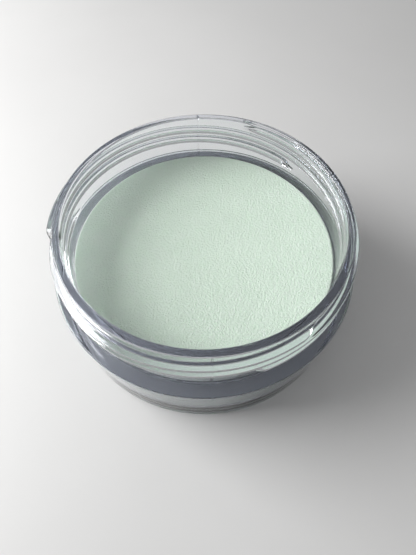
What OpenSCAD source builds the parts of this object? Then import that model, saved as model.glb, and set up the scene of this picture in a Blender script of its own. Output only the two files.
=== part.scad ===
// Shaving soap puck in its open, clear, screw-neck jar.
// The jar stands on z = 0 with its axis on Z.

/* [Jar] */
// Height of the jar, from the table to the rim
jar_h = 38; // [34:0.5:60]
// Outer radius of the neck
neck_r = 40; // [34:0.5:44]
// Wall of the neck
neck_wall = 2.1; // [1.8:0.1:3]
// Height of the neck, from the shoulder to the rim
neck_h = 17; // [14:0.1:20]
// How far the shoulder ring stands out from the neck
ring_out = 4.1; // [3:0.1:6]
// Height of the shoulder ring's side
ring_h = 1.4; // [1:0.1:5]
// How far the shoulder ring stands out from the body below it
ring_step = 0.5; // [0.5:0.1:2.5]
// How much the body narrows from the ring to the foot
body_draft = 0.8; // [0:0.1:1.5]
// Thickness of the jar's floor
floor_t = 2.6; // [2:0.1:5]

/* [Neck thread] */
// Number of separate thread ridges
starts = 3; // [1:1:3]
// Drop of a ridge in one full turn
lead = 11.2; // [10:0.1:13]
// Angle that each ridge covers
thread_turn = 270; // [180:5:300]
// How far a ridge stands out from the neck
thread_h = 2; // [1:0.1:2.4]
// Width of a ridge at its root
thread_root_w = 2.2; // [2:0.1:3.2]
// Width of a ridge at its crest
thread_crest_w = 1.1; // [0.5:0.1:1.5]
// Depth of the ridges' upper ends below the rim
thread_top = 2.5; // [2:0.1:3.5]
// Clockwise angle from +Y to the first ridge's upper end
thread_first = 17; // [0:1:119]
// Clockwise angle from +Y to the mould's split line
split_at = -3; // [-90:1:90]

/* [Soap puck] */
// Depth of the soap's face below the rim
soap_depth = 15.2; // [15:0.1:20]
// Gap that the soap leaves as it dries and shrinks
soap_gap = 0.15; // [0.1:0.05:0.6]
// Round of the soap's upper edge
soap_edge_r = 0.3; // [0.2:0.1:2]
// How far the soap's face sinks towards its middle
soap_dish = 2.2; // [0:0.1:3]

/* [Hidden] */

// Radii and heights that follow from the driving dimensions.
mouth_r = neck_r - neck_wall;
ring_r = neck_r + ring_out;
body_r = ring_r - ring_step;
foot_r = body_r - body_draft;
shoulder_z = jar_h - neck_h;
ring_z = shoulder_z - ring_h;
soap_z = jar_h - soap_depth;

// The mouth is a true cylinder down to just above the soap. Below that the cavity has draft.
mouth_gap = 0.8;
mouth_z = soap_z + mouth_gap;
cavity_draft = 0.6;
cavity_r = mouth_r - cavity_draft;
cavity_corner_r = 3.5;

// Small rounds of the moulding.
rim_round = 0.4;
ring_round = 0.4;
neck_fillet = 0.6;
foot_round = 0.5;

// Hollow of the foot, and the gate mark in its middle.
foot_land_w = 6.5;
foot_hollow_h = 0.6;
foot_hollow_r = foot_r - foot_round - foot_land_w - foot_hollow_h;
gate_r = 1.5;
gate_h = 0.3;

// Ridges that the mould's two neck slides leave.
split_w = 0.5;
split_out = 0.2;

// The soap lies this far off the jar's floor, so that the two stay separate solids.
soap_lift = 0.1;

round_fn = 180;
thread_step = 5;
thread_run = 5;
thread_bite = 0.8;

// Points of an arc about (x, z), from angle a to angle b.
function arc(x, z, r, a, b, steps = 5) =
    [for (i = [0:steps]) let (t = a + (b - a) * i / steps) [x + r * cos(t), z + r * sin(t)]];

// Outline of the jar from its foot up the outside, over the rim and down the cavity.
jar_outline = concat(
    [[0, foot_hollow_h], [foot_hollow_r, foot_hollow_h], [foot_hollow_r + foot_hollow_h, 0]],
    arc(foot_r - foot_round, foot_round, foot_round, -90, 0),
    [[body_r, ring_z]],
    arc(ring_r - ring_round, ring_z + ring_round, ring_round, -90, 0),
    arc(ring_r - ring_round, shoulder_z - ring_round, ring_round, 0, 90),
    arc(neck_r + neck_fillet, shoulder_z + neck_fillet, neck_fillet, 270, 180),
    arc(neck_r - rim_round, jar_h - rim_round, rim_round, 0, 90),
    arc(mouth_r + rim_round, jar_h - rim_round, rim_round, 90, 180),
    [[mouth_r, mouth_z]],
    arc(cavity_r - cavity_corner_r, floor_t + cavity_corner_r, cavity_corner_r, 0, -90, 8),
    [[0, floor_t]]
);

// Outline of the soap, which is cast in the cavity and has shrunk from its wall.
soap_corner_r = cavity_corner_r - soap_gap;
soap_floor_z = floor_t + soap_lift;
soap_foot_r = cavity_r - soap_gap;
// Steps from the rim of the soap's shallow dish to its middle.
dish_steps = 12;
// Share of the cavity's draft that the soap's face reaches.
soap_rise = (soap_z - floor_t - cavity_corner_r) / (mouth_z - floor_t - cavity_corner_r);
soap_r = soap_foot_r + cavity_draft * soap_rise;
soap_outline = concat(
    [[0, soap_floor_z]],
    arc(soap_foot_r - soap_corner_r, soap_floor_z + soap_corner_r, soap_corner_r, -90, 0, 8),
    arc(soap_r - soap_edge_r, soap_z - soap_edge_r, soap_edge_r, 0, 90),
    [for (i = [dish_steps - 1:-1:0]) let (share = i / dish_steps)
        [(soap_r - soap_edge_r) * share, soap_z - soap_dish * (1 - share * share)]]
);

// How far a ridge has risen from the neck at angle a from its upper end, from 0 to 1.
function thread_rise(a) = min(1, max(0.02, a / thread_run), max(0.02, (thread_turn - a) / thread_run));

// One cross-section of a ridge, standing out along X, at angle a from its upper end.
function thread_ring(a) =
    let (
        z = jar_h - thread_top - lead * a / 360,
        rise = thread_rise(a),
        flank = (thread_root_w - thread_crest_w) / 2 / thread_h,
        half = (thread_root_w - thread_crest_w * (1 - rise)) / 2,
        top = thread_h * rise,
        crest = half - flank * top,
        root = half + flank * thread_bite
    )
    [for (p = [[-thread_bite, -root], [top, -crest], [top, crest], [-thread_bite, root]])
        [(neck_r + p[0]) * sin(a), (neck_r + p[0]) * cos(a), z + p[1]]];

// One ridge, as a sweep of its cross-section down the neck, clockwise from +Y.
module thread_ridge() {
    steps = thread_turn / thread_step;
    sides = 4;
    points = [for (i = [0:steps]) each thread_ring(i * thread_step)];
    sleeve = [for (i = [0:steps - 1]) for (j = [0:sides - 1])
        let (a = i * sides + j, b = i * sides + (j + 1) % sides)
        each [[a, b + sides, b], [a, a + sides, b + sides]]];
    first = [for (j = [1:sides - 2]) [0, j, j + 1]];
    last = [for (j = [1:sides - 2]) [steps * sides, steps * sides + j + 1, steps * sides + j]];
    polyhedron(points, concat(sleeve, first, last));
}

module thread() {
    for (i = [0:starts - 1]) rotate(-thread_first - i * 360 / starts) thread_ridge();
}

// The two upright ridges on the neck and on the shoulder ring, where the mould's slides meet.
module split_line() {
    for (turn = [0, 180]) rotate(turn - split_at) {
        translate([-split_w / 2, neck_r - thread_bite, shoulder_z])
            cube([split_w, thread_bite + split_out, neck_h - rim_round]);
        translate([-split_w / 2, ring_r - thread_bite, ring_z + ring_round])
            cube([split_w, thread_bite + split_out, ring_h - 2 * ring_round]);
    }
}

// Clear moulded jar: foot, body, shoulder ring, threaded neck and rim in one piece.
module jar() {
    color([0.86, 0.9, 0.92, 0.35]) union() {
        rotate_extrude($fn = round_fn) polygon(jar_outline);
        thread();
        split_line();
        translate([0, 0, foot_hollow_h - gate_h]) cylinder(r = gate_r, h = 2 * gate_h, $fn = 48);
    }
}

// Hard mint-green soap, a loose round cake that lifts out of the jar.
module soap_puck() {
    color([0.78, 0.86, 0.79]) rotate_extrude($fn = round_fn) polygon(soap_outline);
}

jar();
soap_puck();
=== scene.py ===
"""A shaving soap puck in its open, clear screw-neck jar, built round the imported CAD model."""

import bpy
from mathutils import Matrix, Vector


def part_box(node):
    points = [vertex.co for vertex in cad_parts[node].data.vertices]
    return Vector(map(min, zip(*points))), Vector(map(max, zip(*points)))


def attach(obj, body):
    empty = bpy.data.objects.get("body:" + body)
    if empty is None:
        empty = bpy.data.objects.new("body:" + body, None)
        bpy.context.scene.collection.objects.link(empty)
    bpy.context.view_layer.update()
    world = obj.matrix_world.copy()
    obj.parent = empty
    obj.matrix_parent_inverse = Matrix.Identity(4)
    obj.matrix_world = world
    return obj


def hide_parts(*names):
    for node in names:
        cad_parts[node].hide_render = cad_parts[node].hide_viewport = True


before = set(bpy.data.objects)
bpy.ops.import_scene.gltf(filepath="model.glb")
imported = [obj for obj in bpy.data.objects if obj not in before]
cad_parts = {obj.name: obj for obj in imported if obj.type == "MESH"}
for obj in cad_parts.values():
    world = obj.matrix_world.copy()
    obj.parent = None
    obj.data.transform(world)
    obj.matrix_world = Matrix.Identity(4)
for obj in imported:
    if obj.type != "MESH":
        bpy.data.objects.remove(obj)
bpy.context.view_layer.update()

import math

import bmesh
import bpy
from mathutils import Vector, noise

MM = 0.001

# ---- sizes in millimetres, as in the CAD model except where a comment says otherwise ------------
jar_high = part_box("jar")[1]
soap_low, soap_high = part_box("soap_puck")
JAR_H = jar_high.z / MM
NECK_R = 40.0
NECK_WALL = 2.1
NECK_H = 17.0
RING_OUT = 4.1
RING_H = 1.4
RING_STEP = 0.5
BODY_DRAFT = 0.8
FLOOR_T = 2.6
MOUTH_GAP = 0.8
CAVITY_DRAFT = 0.6
MOUTH_R = NECK_R - NECK_WALL
RING_R = NECK_R + RING_OUT
BODY_R = RING_R - RING_STEP
FOOT_R = BODY_R - BODY_DRAFT
SHOULDER_Z = JAR_H - NECK_H
RING_Z = SHOULDER_Z - RING_H
MOUTH_Z = soap_high.z / MM + MOUTH_GAP
CAVITY_R = MOUTH_R - CAVITY_DRAFT
CAVITY_CORNER = 3.5
RIM_ROUND = 0.4
RING_ROUND = 0.4
NECK_FILLET = 0.6
FOOT_ROUND = 0.5
FOOT_LAND_W = 6.5
FOOT_HOLLOW_H = 0.6
FOOT_HOLLOW_R = FOOT_R - FOOT_ROUND - FOOT_LAND_W - FOOT_HOLLOW_H
GATE_R = 1.5
GATE_H = 0.3
STEP_FILLET = 0.15
HOLLOW_TOP_ROUND = 0.5
HOLLOW_LOW_ROUND = 0.2

STARTS = 3
LEAD = 11.2
PITCH = LEAD / STARTS
THREAD_TURN = 270.0
THREAD_H = 2.0
THREAD_ROOT_W = 2.2
THREAD_CREST_W = 1.1
THREAD_TOP = 2.5
THREAD_FIRST = 17.0
# The CAD's ridges run out over 5 degrees.
THREAD_RUN = 9.0
SPLIT_AT = -3.0
SPLIT_W = 0.5
SPLIT_OUT = 0.2
# The CAD's split line stands out 0.2 on the neck too.
SPLIT_NECK_OUT = 0.1
# Past half its width the line fades out over this much, and it ends this far from the rim and shoulder.
SPLIT_FADE = 0.1
SPLIT_RUN = 0.3
SOAP_GAP = 0.15
SOAP_EDGE_R = 0.3
SOAP_DISH = 2.2
# The cavity's corner of 3.5, less the gap and a little more for the soap's roughness.
SOAP_CORNER_R = 3.2
SOAP_SKIN = 0.05
SOAP_FACE_SKIN = 0.04
# The soap's unevenness: how high each kind is, and how many waves of its noise go to a millimetre.
SWELL_H = 0.035
SWELL_RATE = 0.11
PEEL_H = 0.013
PEEL_RATE = 1.1
EDGE_WANDER = 0.05
EDGE_RATE = 0.35
EDGE_BAND = 1.6

COLUMN_STEP = 1.25
SOAP_FACE_RINGS = 120
SOAP_COLUMNS = 420


# ---- helpers ------------------------------------------------------------------------------------
def smooth(t):
    t = min(1.0, max(0.0, t))
    return t * t * (3 - 2 * t)


def flank(t, round_share=0.2):
    """A straight rise from 0 to 1, rounded over this share at its foot and its crest."""
    if t > 0.5:
        return 1 - flank(1 - t, round_share)
    if t <= -round_share:
        return 0.0
    if t >= round_share:
        return t
    return (t + round_share) ** 2 / (4 * round_share)


def arc(r, z, radius, start, end, steps):
    """Points of an arc about (r, z) in the outline's plane, from one angle to another."""
    out = []
    for i in range(steps + 1):
        t = math.radians(start + (end - start) * i / steps)
        out.append((r + radius * math.cos(t), z + radius * math.sin(t)))
    return out


def line(a, b, fractions):
    """Points between a and b, at these shares of the way."""
    return [(a[0] + (b[0] - a[0]) * f, a[1] + (b[1] - a[1]) * f) for f in fractions]


# Shares of a straight stretch at which it gets points, so that its shading stays flat.
HOLD = (0.012, 0.05, 0.25, 0.5, 0.75, 0.95, 0.988)


def joined(*runs):
    """One outline from runs of points, with holding points on each straight stretch between them."""
    out = list(runs[0])
    for run in runs[1:]:
        out += line(out[-1], run[0], HOLD)
        out += run
    return out


def mesh_object(name, bm, material):
    mesh = bpy.data.meshes.new(name)
    bm.normal_update()
    bm.to_mesh(mesh)
    bm.free()
    for polygon in mesh.polygons:
        polygon.use_smooth = True
    obj = bpy.data.objects.new(name, mesh)
    bpy.context.scene.collection.objects.link(obj)
    mesh.materials.append(material)
    return obj


class Nodes:
    """A material's or world's node tree, with short calls for adding and joining nodes."""

    def __init__(self, owner):
        owner.use_nodes = True
        self.tree = owner.node_tree
        self.tree.nodes.clear()

    def add(self, kind, settings=None, **inputs):
        node = self.tree.nodes.new(kind)
        for key, value in (settings or {}).items():
            setattr(node, key, value)
        for key, value in inputs.items():
            self.put(node, key.replace("_", " "), value)
        return node

    def put(self, node, socket, value):
        target = node.inputs[socket]
        if isinstance(value, bpy.types.NodeSocket):
            self.tree.links.new(value, target)
        else:
            target.default_value = value

    def ramp(self, factor, *stops):
        node = self.tree.nodes.new("ShaderNodeValToRGB")
        self.tree.links.new(factor, node.inputs["Fac"])
        elements = node.color_ramp.elements
        while len(elements) < len(stops):
            elements.new(0.5)
        for element, (at, value) in zip(elements, stops):
            element.position = at
            element.color = (*value, 1) if isinstance(value, tuple) else (value, value, value, 1)
        return node.outputs["Color"]


def on_body(obj, body, node):
    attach(obj, body)
    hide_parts(node)


# ---- materials ----------------------------------------------------------------------------------
def clear_plastic():
    """Clear polystyrene, faintly blue-grey along its long way through, with fine wear on its surface."""
    material = bpy.data.materials.new("clear_polystyrene")
    n = Nodes(material)
    place = n.add("ShaderNodeTexCoord").outputs["Object"]
    wear = n.add("ShaderNodeTexNoise", None, Vector=place, Scale=900.0, Detail=4.0, Roughness=0.6)
    flow = n.add("ShaderNodeTexNoise", None, Vector=place, Scale=90.0, Detail=3.0, Roughness=0.5)
    roughness = n.ramp(wear.outputs["Fac"], (0.35, 0.012), (0.75, 0.05))
    bump = n.add("ShaderNodeBump", None, Strength=0.3, Distance=0.00015, Height=flow.outputs["Fac"])
    shader = n.add("ShaderNodeBsdfPrincipled", None, Roughness=roughness, IOR=1.58)
    shader.inputs["Base Color"].default_value = (0.97, 0.98, 1.0, 1)
    shader.inputs["Transmission Weight"].default_value = 1.0
    n.tree.links.new(bump.outputs["Normal"], shader.inputs["Normal"])
    absorb = n.add("ShaderNodeVolumeAbsorption", None, Density=30.0)
    absorb.inputs["Color"].default_value = (0.71, 0.745, 0.84, 1)
    out = n.add("ShaderNodeOutputMaterial")
    n.tree.links.new(shader.outputs[0], out.inputs["Surface"])
    n.tree.links.new(absorb.outputs[0], out.inputs["Volume"])
    return material


def mint_soap():
    """Matte mint-green milled soap with a very fine grain and a faint mottle."""
    material = bpy.data.materials.new("mint_soap")
    n = Nodes(material)
    place = n.add("ShaderNodeTexCoord").outputs["Object"]
    mottle = n.add("ShaderNodeTexNoise", None, Vector=place, Scale=130.0, Detail=5.0, Roughness=0.6)
    grain = n.add("ShaderNodeTexNoise", None, Vector=place, Scale=1900.0, Detail=2.0, Roughness=0.6)
    colour = n.ramp(
        mottle.outputs["Fac"],
        (0.3, (0.628, 0.748, 0.650)),
        (0.7, (0.658, 0.776, 0.680)),
    )
    bump = n.add("ShaderNodeBump", None, Strength=1.0, Distance=0.0004, Height=grain.outputs["Fac"])
    shader = n.add("ShaderNodeBsdfPrincipled", None, Roughness=0.62, IOR=1.45)
    n.put(shader, "Base Color", colour)
    shader.inputs["Specular IOR Level"].default_value = 0.35
    shader.inputs["Subsurface Weight"].default_value = 0.35
    shader.inputs["Subsurface Radius"].default_value = (1.0, 1.3, 1.0)
    shader.inputs["Subsurface Scale"].default_value = 0.0012
    n.tree.links.new(bump.outputs["Normal"], shader.inputs["Normal"])
    out = n.add("ShaderNodeOutputMaterial")
    n.tree.links.new(shader.outputs[0], out.inputs["Surface"])
    return material


def pale_table():
    material = bpy.data.materials.new("pale_table")
    n = Nodes(material)
    place = n.add("ShaderNodeTexCoord").outputs["Object"]
    cloud = n.add("ShaderNodeTexNoise", None, Vector=place, Scale=12.0, Detail=4.0, Roughness=0.5)
    colour = n.ramp(cloud.outputs["Fac"], (0.3, (0.61, 0.61, 0.61)), (0.7, (0.64, 0.64, 0.64)))
    shader = n.add("ShaderNodeBsdfPrincipled", None, Roughness=0.5)
    n.put(shader, "Base Color", colour)
    out = n.add("ShaderNodeOutputMaterial")
    n.tree.links.new(shader.outputs[0], out.inputs["Surface"])
    return material


# ---- jar ----------------------------------------------------------------------------------------
def ridge_height(azimuth, z):
    """How far the neck's thread stands out at this azimuth, clockwise from +Y, and height."""
    height = 0.0
    for k in range(STARTS):
        along = (azimuth - THREAD_FIRST - k * 360 / STARTS) % 360
        if along > THREAD_TURN:
            continue
        off = abs(z - (JAR_H - THREAD_TOP - LEAD * along / 360))
        ends = smooth(along / THREAD_RUN) * smooth((THREAD_TURN - along) / THREAD_RUN)
        half = THREAD_ROOT_W / 2 - (1 - ends) * THREAD_CREST_W / 2
        profile = flank((half - off) / ((THREAD_ROOT_W - THREAD_CREST_W) / 2))
        height = max(height, THREAD_H * profile * ends)
    return height


def split_height(azimuth, radius, out):
    """How far the mould's split line stands out at this azimuth, for a wall of this radius,
    where the line stands out this far at its middle."""
    height = 0.0
    for at in (SPLIT_AT, SPLIT_AT + 180):
        off = (azimuth - at + 180) % 360 - 180
        arc_mm = abs(math.radians(off)) * radius
        height = max(height, out * smooth(1 - arc_mm / (SPLIT_W / 2 + SPLIT_FADE)))
    return height


def jar_columns():
    """The azimuths of the jar's upright mesh lines: even steps, and closer ones at the split lines and the
    ridges' ends."""
    columns = {round(THREAD_FIRST + i * COLUMN_STEP, 3) % 360 for i in range(round(360 / COLUMN_STEP))}
    for at in (SPLIT_AT, SPLIT_AT + 180):
        for off in (0.08, 0.16, 0.24, 0.32, 0.42, 0.6):
            columns |= {round(at + off, 3) % 360, round(at - off, 3) % 360}
    for k in range(STARTS):
        for end in (0, THREAD_TURN):
            for off in range(1, 10):
                sign = 1 if end == 0 else -1
                columns.add(round(THREAD_FIRST + k * 360 / STARTS + end + sign * (off * 0.5 + 0.01), 3) % 360)
    return sorted(columns, key=lambda a: (a - THREAD_FIRST) % 360)


NECK_TOP = JAR_H - RIM_ROUND
NECK_FOOT = SHOULDER_Z + NECK_FILLET


def outline_below():
    """The jar's outline from the gate mark under it, over the foot and up to the neck's foot."""
    gate_z = FOOT_HOLLOW_H - GATE_H
    return joined(
        [(1.0, gate_z), (1.3, gate_z + 0.02), (GATE_R, gate_z + 0.18), (GATE_R + 0.1, FOOT_HOLLOW_H)],
        arc(FOOT_HOLLOW_R - HOLLOW_TOP_ROUND, FOOT_HOLLOW_H - HOLLOW_TOP_ROUND, HOLLOW_TOP_ROUND, 90, 45, 3)
        + arc(FOOT_HOLLOW_R + 0.62, HOLLOW_LOW_ROUND, HOLLOW_LOW_ROUND, 225, 270, 3),
        arc(FOOT_R - FOOT_ROUND, FOOT_ROUND, FOOT_ROUND, -90, 0, 6),
        arc(BODY_R + STEP_FILLET, RING_Z - STEP_FILLET, STEP_FILLET, 180, 90, 3),
        arc(RING_R - RING_ROUND, RING_Z + RING_ROUND, RING_ROUND, -90, 0, 6),
        arc(RING_R - RING_ROUND, SHOULDER_Z - RING_ROUND, RING_ROUND, 0, 90, 6),
        arc(NECK_R + NECK_FILLET, NECK_FOOT, NECK_FILLET, 270, 180, 6),
    )


def outline_above():
    """The jar's outline from the neck's top, over the rim and down the cavity."""
    return joined(
        arc(NECK_R - RIM_ROUND, NECK_TOP, RIM_ROUND, 0, 90, 8),
        arc(MOUTH_R + RIM_ROUND, NECK_TOP, RIM_ROUND, 90, 180, 8),
        [(MOUTH_R, MOUTH_Z + 0.2), (MOUTH_R - 0.005, MOUTH_Z - 0.2)],
        arc(CAVITY_R - CAVITY_CORNER, FLOOR_T + CAVITY_CORNER, CAVITY_CORNER, 0, -90, 10),
        [(1.0, FLOOR_T)],
    )


def neck_rows():
    """Heights of the neck's mesh rows, and how many there are to each ridge. They follow the thread down,
    so that no mesh line crosses a ridge's flank."""
    half = (0.0, 0.35, 0.47, 0.54, 0.61, 0.69, 0.8, 0.92, 1.02, 1.1, 1.17, 1.3)
    steps = [*(-h for h in reversed(half[1:])), *half, PITCH / 2]
    rows, centre = [], JAR_H - THREAD_TOP + PITCH * 3
    while centre > NECK_FOOT - PITCH * 2:
        rows += [centre - s for s in steps]
        centre -= PITCH
    per_pitch = len(steps)
    highest = NECK_TOP + PITCH + 2 * PITCH / per_pitch + 1.0
    return [z for z in rows if z < highest], per_pitch


def make_jar(material):
    below = outline_below()
    above = outline_above()
    rows, per_pitch = neck_rows()
    bm = bmesh.new()
    columns = jar_columns()
    low_rings, neck_lines, high_rings, shifts = [], [], [], []
    for azimuth in columns:
        a = math.radians(azimuth)
        out = (math.sin(a), math.cos(a))

        def vert(r, z, out=out):
            return bm.verts.new((r * out[0] * MM, r * out[1] * MM, z * MM))

        shift = LEAD / 360 * ((azimuth - THREAD_FIRST) % (360 / STARTS))
        shifts.append(shift)
        low = []
        for r, z in below:
            on_ring = smooth((r - RING_R + 0.75) / 0.2) * (z > RING_Z)
            low.append(vert(r + on_ring * split_height(azimuth, RING_R, SPLIT_OUT), z))
        low_rings.append(low)
        neck = []
        for z in rows:
            z = min(NECK_TOP, max(NECK_FOOT, z - shift))
            ends = smooth((NECK_TOP - z) / SPLIT_RUN) * smooth((z - NECK_FOOT) / SPLIT_RUN)
            r = NECK_R + ridge_height(azimuth, z) + ends * split_height(azimuth, NECK_R, SPLIT_NECK_OUT)
            neck.append(vert(r, z))
        neck_lines.append(neck)
        high_rings.append([vert(r, z) for r, z in above])

    def quad(*verts):
        bm.faces.new(verts)

    count = len(columns)
    for i in range(count):
        j = (i + 1) % count
        for rings in (low_rings, high_rings):
            for k in range(len(rings[i]) - 1):
                quad(rings[i][k], rings[i][k + 1], rings[j][k + 1], rings[j][k])
        jump = per_pitch if shifts[j] < shifts[i] else 0
        for k in range(len(rows) - 1 - jump):
            a, b = neck_lines[i][k], neck_lines[i][k + 1]
            c, d = neck_lines[j][k + 1 + jump], neck_lines[j][k + jump]
            quad(a, d, c, b)
    bottom = bm.verts.new((0, 0, (FOOT_HOLLOW_H - GATE_H) * MM))
    cavity = bm.verts.new((0, 0, FLOOR_T * MM))
    for i in range(count):
        j = (i + 1) % count
        quad(bottom, low_rings[i][0], low_rings[j][0])
        quad(cavity, high_rings[j][-1], high_rings[i][-1])
    bmesh.ops.remove_doubles(bm, verts=bm.verts, dist=2e-6)
    bmesh.ops.dissolve_degenerate(bm, edges=bm.edges, dist=1e-7)
    bmesh.ops.recalc_face_normals(bm, faces=bm.faces)
    loose = [v for v in bm.verts if not v.link_faces]
    bmesh.ops.delete(bm, geom=loose, context="VERTS")
    return mesh_object("clear_jar", bm, material)


# ---- soap ---------------------------------------------------------------------------------------
def soap_outline(edge, top, foot):
    """The soap's outline from near the middle of its face, over its edge and down to its foot."""
    corner = CAVITY_R - SOAP_GAP - 0.2
    flat = edge - SOAP_EDGE_R
    outline = [(flat * i / SOAP_FACE_RINGS, top) for i in range(1, SOAP_FACE_RINGS + 1)]
    outline += arc(flat, top - SOAP_EDGE_R, SOAP_EDGE_R, 90, 0, 7)[1:]
    outline += line(outline[-1], (corner, foot + SOAP_CORNER_R + 0.1), (0.05, 0.2, 0.4, 0.6, 0.8, 0.95))
    outline += arc(corner - SOAP_CORNER_R, foot + SOAP_CORNER_R, SOAP_CORNER_R, 0, -90, 8)
    outline += line(outline[-1], (1.0, foot), (0.2, 0.5, 0.8, 1.0))
    return outline


def soap_point(r, z, turn, edge, top):
    """A point of the soap's skin: the outline's point, with the face's dish and a slight unevenness."""
    x, y = r * math.sin(turn), r * math.cos(turn)
    dip = SWELL_H * noise.noise(Vector((x, y, z)) * SWELL_RATE)
    dip += PEEL_H * noise.noise(Vector((x, y, z)) * PEEL_RATE)
    if z > top - SOAP_EDGE_R - SOAP_SKIN:
        near_edge = smooth((r - edge + EDGE_BAND) / EDGE_BAND)
        wander = EDGE_WANDER * noise.noise(Vector((x * EDGE_RATE, y * EDGE_RATE, 3.0))) * near_edge
        dish = SOAP_DISH * (1 - min(1.0, r / (edge - SOAP_EDGE_R)) ** 2)
        r, z = r - abs(wander), z - SOAP_FACE_SKIN + dip - dish
    else:
        r = r - SOAP_SKIN + dip
    return r * math.sin(turn) * MM, r * math.cos(turn) * MM, z * MM


def make_soap(material):
    top = soap_high.z / MM
    foot = soap_low.z / MM
    edge = soap_high.x / MM
    bm = bmesh.new()
    rings = []
    for r, z in soap_outline(edge, top, foot):
        turns = (2 * math.pi * i / SOAP_COLUMNS for i in range(SOAP_COLUMNS))
        rings.append([bm.verts.new(soap_point(r, z, turn, edge, top)) for turn in turns])
    for k in range(len(rings) - 1):
        for i in range(SOAP_COLUMNS):
            j = (i + 1) % SOAP_COLUMNS
            bm.faces.new((rings[k][i], rings[k + 1][i], rings[k + 1][j], rings[k][j]))
    for ring, z in ((rings[0], top - SOAP_SKIN - SOAP_DISH), (rings[-1], foot)):
        centre = bm.verts.new((0, 0, z * MM))
        for i in range(SOAP_COLUMNS):
            bm.faces.new((centre, ring[i], ring[(i + 1) % SOAP_COLUMNS]))
    bmesh.ops.recalc_face_normals(bm, faces=bm.faces)
    return mesh_object("mint_soap_cake", bm, material)


jar = make_jar(clear_plastic())
on_body(jar, "jar", "jar")
soap = make_soap(mint_soap())
on_body(soap, "soap", "soap_puck")


# ---- table, light and camera, in metres ---------------------------------------------------------
# The table lies a hair under the jar's foot, so that the two faces don't coincide.
TABLE_Z = -0.00005
TABLE_HALF = 2.0
WINDOW_AT = (-0.346, 0.055, 0.252)
WINDOW_TARGET = (0, 0, 0.02)
WINDOW_SIZE = (0.32, 0.28)
WINDOW_WATTS = 2.85
WINDOW_COLOUR = (1.0, 0.995, 0.985)
CAMERA_SIDE = 0.00112
CAMERA_FRONT = 0.07444
CAMERA_OVER_RIM = 0.09128
CAMERA_TILT = 31.03
CAMERA_LENS = 28.54


def make_table():
    bm = bmesh.new()
    bmesh.ops.create_grid(bm, x_segments=8, y_segments=8, size=TABLE_HALF)
    obj = mesh_object("table", bm, pale_table())
    obj.location.z = TABLE_Z


def area_light(name, place, target, size, power, colour):
    data = bpy.data.lights.new(name, "AREA")
    data.shape = "RECTANGLE"
    data.size, data.size_y = size
    data.energy = power
    data.color = colour
    obj = bpy.data.objects.new(name, data)
    bpy.context.scene.collection.objects.link(obj)
    obj.location = place
    obj.rotation_euler = (Vector(target) - Vector(place)).to_track_quat("-Z", "Y").to_euler()


def make_world():
    world = bpy.data.worlds.new("studio")
    bpy.context.scene.world = world
    n = Nodes(world)
    direction = n.add("ShaderNodeTexCoord").outputs["Generated"]
    towards = n.add("ShaderNodeVectorMath", {"operation": "DOT_PRODUCT"})
    n.tree.links.new(direction, towards.inputs[0])
    towards.inputs[1].default_value = Vector((0.3, -0.1, 0.95)).normalized()
    level = n.add("ShaderNodeMapRange")
    n.tree.links.new(towards.outputs["Value"], level.inputs["Value"])
    level.inputs["From Min"].default_value = -1.0
    level.inputs["From Max"].default_value = 1.0
    colour = n.ramp(
        level.outputs["Result"],
        (0.0, (0.08, 0.08, 0.08)),
        (0.5, (0.22, 0.22, 0.22)),
        (1.0, (0.6, 0.6, 0.6)),
    )
    back = n.add("ShaderNodeBackground", None, Strength=0.75)
    n.put(back, "Color", colour)
    out = n.add("ShaderNodeOutputWorld")
    n.tree.links.new(back.outputs[0], out.inputs["Surface"])


make_table()
make_world()
area_light("window", WINDOW_AT, WINDOW_TARGET, WINDOW_SIZE, WINDOW_WATTS, WINDOW_COLOUR)

camera_data = bpy.data.cameras.new("camera")
camera_data.lens = CAMERA_LENS
camera_data.sensor_width = 36.0
camera = bpy.data.objects.new("camera", camera_data)
bpy.context.scene.collection.objects.link(camera)
camera.location = (CAMERA_SIDE, -CAMERA_FRONT, JAR_H * MM + CAMERA_OVER_RIM)
camera.rotation_euler = (math.radians(CAMERA_TILT), 0, 0)
camera_data.clip_start = 0.005
camera_data.clip_end = 20.0
bpy.context.scene.camera = camera

scene = bpy.context.scene
scene.view_settings.view_transform = "Standard"
scene.cycles.max_bounces = 20
scene.cycles.transmission_bounces = 16
scene.cycles.transparent_max_bounces = 24
scene.cycles.glossy_bounces = 8
